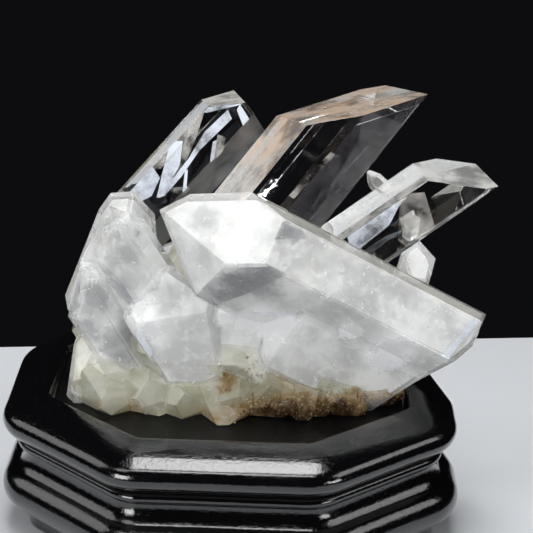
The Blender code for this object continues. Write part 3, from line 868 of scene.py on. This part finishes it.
LUMPS = (
    ((0.0060, 0.0040, 0.0720), (0.0340, 0.0160, 0.0200), 3, 26),
    ((-0.0260, 0.0020, 0.0560), (0.0220, 0.0190, 0.0200), 5, 24),
    ((0.0020, -0.0010, 0.0500), (0.0290, 0.0230, 0.0180), 7, 26),
    ((0.0310, -0.0010, 0.0540), (0.0200, 0.0180, 0.0170), 9, 26),
    ((-0.0340, -0.0050, 0.0490), (0.0170, 0.0120, 0.0150), 12, 22),
    ((-0.0350, -0.0125, 0.0440), (0.0115, 0.0080, 0.0100), 15, 14),
    ((-0.0230, -0.0140, 0.0435), (0.0115, 0.0085, 0.0092), 16, 14),
    ((-0.0120, -0.0155, 0.0435), (0.0108, 0.0080, 0.0092), 18, 14),
    ((0.0000, -0.0160, 0.0430), (0.0115, 0.0080, 0.0088), 21, 14),
    ((0.0110, -0.0155, 0.0430), (0.0115, 0.0080, 0.0085), 22, 14),
    ((0.0220, -0.0150, 0.0425), (0.0115, 0.0080, 0.0075), 23, 14),
    ((0.0320, -0.0130, 0.0430), (0.0115, 0.0085, 0.0075), 25, 14),
    ((0.0410, -0.0095, 0.0450), (0.0095, 0.0085, 0.0075), 27, 14),
    ((0.0200, 0.0200, 0.0520), (0.0180, 0.0120, 0.0150), 31, 18),
    ((-0.0120, 0.0220, 0.0500), (0.0190, 0.0120, 0.0140), 33, 18),
)
LUMP_RUGGED = 0.22

SMALL_POINTS = (
    ((-0.0225, -0.0150, 0.0400), (-0.10, -0.55, 0.80), 0.0056, 0.0165, 12),
    ((-0.0140, -0.0175, 0.0400), (0.25, -0.60, 0.70), 0.0048, 0.0130, 40),
    ((0.0020, -0.0150, 0.0440), (0.10, -0.90, 0.35), 0.0048, 0.0125, 5),
    ((0.0105, -0.0150, 0.0435), (0.15, -0.80, 0.60), 0.0050, 0.0130, 28),
    ((0.0230, -0.0155, 0.0400), (-0.20, -0.75, 0.60), 0.0048, 0.0120, 50),
    ((0.0340, -0.0120, 0.0400), (0.30, -0.80, 0.50), 0.0052, 0.0130, 10),
    ((0.0440, -0.0060, 0.0420), (0.50, -0.70, 0.45), 0.0050, 0.0120, 33),
    ((-0.0330, -0.0140, 0.0390), (-0.25, -0.60, 0.75), 0.0054, 0.0135, 20),
    ((-0.0370, 0.0040, 0.0420), (-0.80, 0.20, 0.50), 0.0058, 0.0130, 15),
    ((-0.0330, 0.0160, 0.0430), (-0.60, 0.50, 0.62), 0.0062, 0.0160, 44),
    ((-0.0060, 0.0270, 0.0420), (0.00, 0.75, 0.66), 0.0060, 0.0140, 8),
    ((0.0160, 0.0250, 0.0430), (0.20, 0.80, 0.55), 0.0058, 0.0140, 36),
    ((0.0360, 0.0110, 0.0430), (0.75, 0.45, 0.50), 0.0060, 0.0130, 22),
)
SMALL_UNEVEN = 0.16


def lump_mesh(spec):
    """A broken lump: a block cut by planes spread evenly round it, each a little nearer by chance."""
    middle, half, seed, facets = spec
    chance = random.Random(seed)
    bm = bmesh.new()
    bm.faces.layers.float.new("frost_and_shade")
    bmesh.ops.create_cube(bm, size=STOCK_SIZE)
    bmesh.ops.translate(bm, verts=bm.verts, vec=middle)
    golden = math.pi * (3 - math.sqrt(5))
    for k in range(facets):
        up = 1 - 2 * (k + 0.5) / facets + chance.uniform(-0.5, 0.5) / facets
        angle = golden * k + chance.uniform(-0.5, 0.5)
        level = math.sqrt(max(0.0, 1 - up * up))
        way = Vector((level * math.cos(angle), level * math.sin(angle), up))
        reach = math.sqrt(sum((way[i] * half[i]) ** 2 for i in range(3)))
        reach *= 1 - chance.uniform(0, LUMP_RUGGED)
        slice_off(bm, Vector(middle) + way * reach, way)
    slice_off(bm, Vector((0, 0, BED_HEIGHT)), Vector((0, 0, -1)))
    bmesh.ops.bevel(bm, geom=bm.edges[:], offset=0.0003, segments=2, affect="EDGES", profile=0.6)
    bmesh.ops.recalc_face_normals(bm, faces=bm.faces)
    return bm


def small_point(spec):
    """A short crystal's specification, with sides that differ a little by chance."""
    foot, way, radius, length, turn = spec
    chance = random.Random(turn)
    uneven = [1 + chance.uniform(-SMALL_UNEVEN, SMALL_UNEVEN) for _ in range(6)]
    return {
        "foot": foot,
        "toward": Vector(foot) + Vector(way),
        "turn": turn,
        "sides": [radius * u for u in uneven],
        "heads": [length * uneven[k] if k % 2 == 0 else None for k in range(6)],
    }


def rust_masks(tree):
    """Ochre and dark umber staining: low down, and more to the right than to the left."""
    place = tree.nodes.new("ShaderNodeTexCoord").outputs["Object"]
    parts = tree.nodes.new("ShaderNodeSeparateXYZ")
    tree.links.new(place, parts.inputs[0])
    low_down = ramped(tree, parts.outputs["Z"], 0.0415, 0.0515, 0.36, 0.0)
    rightward = ramped(tree, parts.outputs["X"], -0.008, 0.014, 0.0, 0.24)
    near_front = sums(tree, "MULTIPLY", low_down, sums(tree, "ADD", rightward, 0.76))
    broken = noise_node(tree, place, 150, 7, 0.66)
    rust = sums(tree, "ADD", broken, sums(tree, "ADD", near_front, rightward))
    seam = placed(tree, SPOT, Centre=(-0.0050, -0.0111, 0.0679), Radius=0.0022, Ragged=0.6)
    pocket = placed(tree, SPOT, Centre=(0.0002, -0.0208, 0.0507), Radius=0.0042, Ragged=0.7)
    near = sums(tree, "MULTIPLY", sums(tree, "MAXIMUM", seam, pocket), 0.42)
    rust = sums(tree, "ADD", rust, near)
    return ramped(tree, rust, 0.70, 1.02), ramped(tree, rust, 0.92, 1.14)


def foot_quartz(name, roughness, grain, clearness, pale):
    """Greenish cloudy quartz, stained by iron."""
    made, tree, shader, output = new_material(name)
    ochre, umber = rust_masks(tree)
    cloud = placed(tree, CLOUD, Scale=75, Detail=5, Low=0.36, High=0.64)
    colour = mixed(tree, cloud, (0.48, 0.47, 0.35), pale)
    colour = mixed(tree, ochre, colour, (0.46, 0.33, 0.16))
    colour = mixed(tree, umber, colour, (0.085, 0.045, 0.02))
    fed(tree, colour, shader.inputs["Base Color"])
    shader.inputs["Roughness"].default_value = roughness
    shader.inputs["IOR"].default_value = 1.544
    shader.inputs["Transmission Weight"].default_value = clearness
    rough = placed(tree, CLOUD, Scale=grain, Detail=6, Low=0.2, High=0.8)
    bumped(tree, rough, 0.35, 0.0004, shader)
    if clearness:
        shadowed_by_little(tree, shader, output)
    return made


pieces_of_foot = [lump_mesh(s) for s in LUMPS] + [crystal_mesh(small_point(s)) for s in SMALL_POINTS]
rough_foot = piece(
    "rough_foot",
    merged("rough_foot", pieces_of_foot),
    foot_quartz("foot_quartz", 0.10, 260, 0.45, (0.72, 0.72, 0.645)),
)
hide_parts("quartz_cluster")


def crust_tree():
    """Sharp grains strewn over a rock's low parts, each turned and sized by chance."""
    tree = bpy.data.node_groups.new("drusy_crust", "GeometryNodeTree")
    kinds = (
        ("Geometry", "Geometry", None),
        ("Density", "Float", 300000.0),
        ("Lowest", "Float", 0.0),
        ("Highest", "Float", 0.05),
        ("Leftmost", "Float", -0.1),
        ("Fading", "Float", 0.01),
        ("Smallest", "Float", 0.0002),
        ("Largest", "Float", 0.0009),
        ("Seed", "Int", 4),
        ("Material", "Material", None),
    )
    for title, kind, start in kinds:
        socket = tree.interface.new_socket(name=title, in_out="INPUT", socket_type=f"NodeSocket{kind}")
        if start is not None:
            socket.default_value = start
    tree.interface.new_socket(name="Geometry", in_out="OUTPUT", socket_type="NodeSocketGeometry")
    given = tree.nodes.new("NodeGroupInput").outputs
    parts = tree.nodes.new("ShaderNodeSeparateXYZ")
    tree.links.new(tree.nodes.new("GeometryNodeInputPosition").outputs[0], parts.inputs[0])
    above = sums(tree, "GREATER_THAN", parts.outputs["Z"], given["Lowest"])
    below = sums(tree, "LESS_THAN", parts.outputs["Z"], given["Highest"])
    right_end = sums(tree, "ADD", given["Leftmost"], given["Fading"])
    beside = ramped(tree, parts.outputs["X"], given["Leftmost"], right_end)
    wanted = sums(tree, "MULTIPLY", sums(tree, "MULTIPLY", above, below), beside)
    strewn = tree.nodes.new("GeometryNodeDistributePointsOnFaces")
    tree.links.new(given["Geometry"], strewn.inputs["Mesh"])
    tree.links.new(sums(tree, "MULTIPLY", given["Density"], wanted), strewn.inputs["Density"])
    tree.links.new(given["Seed"], strewn.inputs["Seed"])
    grain = tree.nodes.new("GeometryNodeMeshIcoSphere")
    grain.inputs["Radius"].default_value = 1.0
    grain.inputs["Subdivisions"].default_value = 1
    turn = tree.nodes.new("FunctionNodeRandomValue")
    turn.data_type = "FLOAT_VECTOR"
    turn.inputs["Max"].default_value = (6.283, 6.283, 6.283)
    tree.links.new(given["Seed"], turn.inputs["Seed"])
    sized = tree.nodes.new("FunctionNodeRandomValue")
    sized.data_type = "FLOAT_VECTOR"
    tree.links.new(given["Smallest"], sized.inputs["Min"])
    tree.links.new(given["Largest"], sized.inputs["Max"])
    tree.links.new(given["Seed"], sized.inputs["Seed"])
    copies = tree.nodes.new("GeometryNodeInstanceOnPoints")
    tree.links.new(strewn.outputs["Points"], copies.inputs["Points"])
    tree.links.new(grain.outputs["Mesh"], copies.inputs["Instance"])
    tree.links.new(turn.outputs["Value"], copies.inputs["Rotation"])
    tree.links.new(sized.outputs["Value"], copies.inputs["Scale"])
    real = tree.nodes.new("GeometryNodeRealizeInstances")
    tree.links.new(copies.outputs[0], real.inputs[0])
    coated = tree.nodes.new("GeometryNodeSetMaterial")
    tree.links.new(real.outputs[0], coated.inputs["Geometry"])
    tree.links.new(given["Material"], coated.inputs["Material"])
    tree.links.new(coated.outputs[0], tree.nodes.new("NodeGroupOutput").inputs["Geometry"])
    return tree


def grown(name, base, tree, **values):
    """The mesh that a geometry tree makes from another, as a plain mesh."""
    holder = bpy.data.objects.new(name, base)
    bpy.context.scene.collection.objects.link(holder)
    modifier = holder.modifiers.new("grow", "NODES")
    modifier.node_group = tree
    for item in tree.interface.items_tree:
        if item.in_out == "INPUT" and item.name in values:
            modifier[item.identifier] = values[item.name]
    bpy.context.view_layer.update()
    graph = bpy.context.evaluated_depsgraph_get()
    mesh = bpy.data.meshes.new_from_object(holder.evaluated_get(graph))
    mesh.name = name
    holder.modifiers.clear()
    bpy.data.objects.remove(holder, do_unlink=True)
    return mesh


GRAIN_SIZE = 0.0006
CRUST = crust_tree()
crust_quartz = foot_quartz("crust_quartz", 0.62, 900, 0.0, (0.34, 0.26, 0.16))
crust_mesh = grown(
    "crust",
    rough_foot.data.copy(),
    CRUST,
    Density=900000.0,
    Lowest=BED_HEIGHT + GRAIN_SIZE,
    Highest=0.0475,
    Leftmost=-0.0060,
    Fading=0.020,
    Smallest=0.0002,
    Largest=GRAIN_SIZE,
    Seed=4,
    Material=crust_quartz,
)
crust = piece("crust", crust_mesh)
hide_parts("quartz_cluster")


# TABLE, CAMERA AND LIGHT
# A pale table that ends behind the stand against the dark, a camera looking slightly down, a soft
# light high on the left, one overhead and weak ones at the sides.


def table_sheet():
    """The table's pale top, cut off behind the stand."""
    bm = bmesh.new()
    corners = ((-0.30, 0.0916, 0), (-0.30, -0.17, 0), (0.13, -0.17, 0), (0.13, 0.1290, 0))
    bm.faces.new([bm.verts.new(c) for c in corners])
    mesh = bpy.data.meshes.new("table")
    bm.to_mesh(mesh)
    bm.free()
    made, tree, shader, _ = new_material("pale_table")
    shader.inputs["Base Color"].default_value = (0.90, 0.93, 0.97, 1)
    shader.inputs["Roughness"].default_value = 0.6
    mesh.materials.append(made)
    sheet = bpy.data.objects.new("table", mesh)
    bpy.context.scene.collection.objects.link(sheet)


def camera():
    """The camera, a little to the right of the front and looking 22 degrees down."""
    data = bpy.data.cameras.new("camera")
    data.lens = 112.6
    data.sensor_width = 36
    data.clip_start = 0.01
    obj = bpy.data.objects.new("camera", data)
    obj.location = (0.0309, -0.4627, 0.2663)
    obj.rotation_euler = (math.radians(68), 0, math.radians(2.5))
    bpy.context.scene.collection.objects.link(obj)
    bpy.context.scene.camera = obj


def soft_light(name, azimuth, elevation, width, height, power, spin=0, distance=1.0, aim=(0, 0, 0.08)):
    """An area light seen from the stone at that azimuth (0 in front, 90 right) and elevation."""
    data = bpy.data.lights.new(name, "AREA")
    data.shape = "RECTANGLE"
    data.size = width
    data.size_y = height
    data.energy = power
    obj = bpy.data.objects.new(name, data)
    a, e = math.radians(azimuth), math.radians(elevation)
    way = Vector((math.sin(a) * math.cos(e), -math.cos(a) * math.cos(e), math.sin(e)))
    obj.location = Vector(aim) + way * distance
    turned = way.to_track_quat("Z", "Y").to_matrix().to_4x4() @ Matrix.Rotation(math.radians(spin), 4, "Z")
    obj.rotation_euler = turned.to_euler()
    bpy.context.scene.collection.objects.link(obj)


table_sheet()
camera()
soft_light("key_left", -49, 52, 0.30, 0.30, 0.66)
soft_light("front_overhead", -5, 66, 0.45, 0.20, 1.6)
soft_light("overhead", 0, 94, 0.46, 0.44, 4.8)
soft_light("fill_right", 75, 32, 0.5, 0.4, 1.3)
soft_light("fill_front", -34, 6, 0.40, 0.40, 3.6)
soft_light("fill_low", 48, 2, 0.40, 0.20, 1.6)
soft_light("fill_left", -95, 30, 0.5, 0.5, 1.1)
soft_light("glint", -3, 41, 0.024, 0.003, 0.010, spin=45)

world = bpy.data.worlds.new("dark_room")
world.use_nodes = True
world.node_tree.nodes["Background"].inputs["Color"].default_value = (0.004, 0.004, 0.005, 1)
bpy.context.scene.world = world
bpy.context.scene.view_settings.view_transform = "Standard"
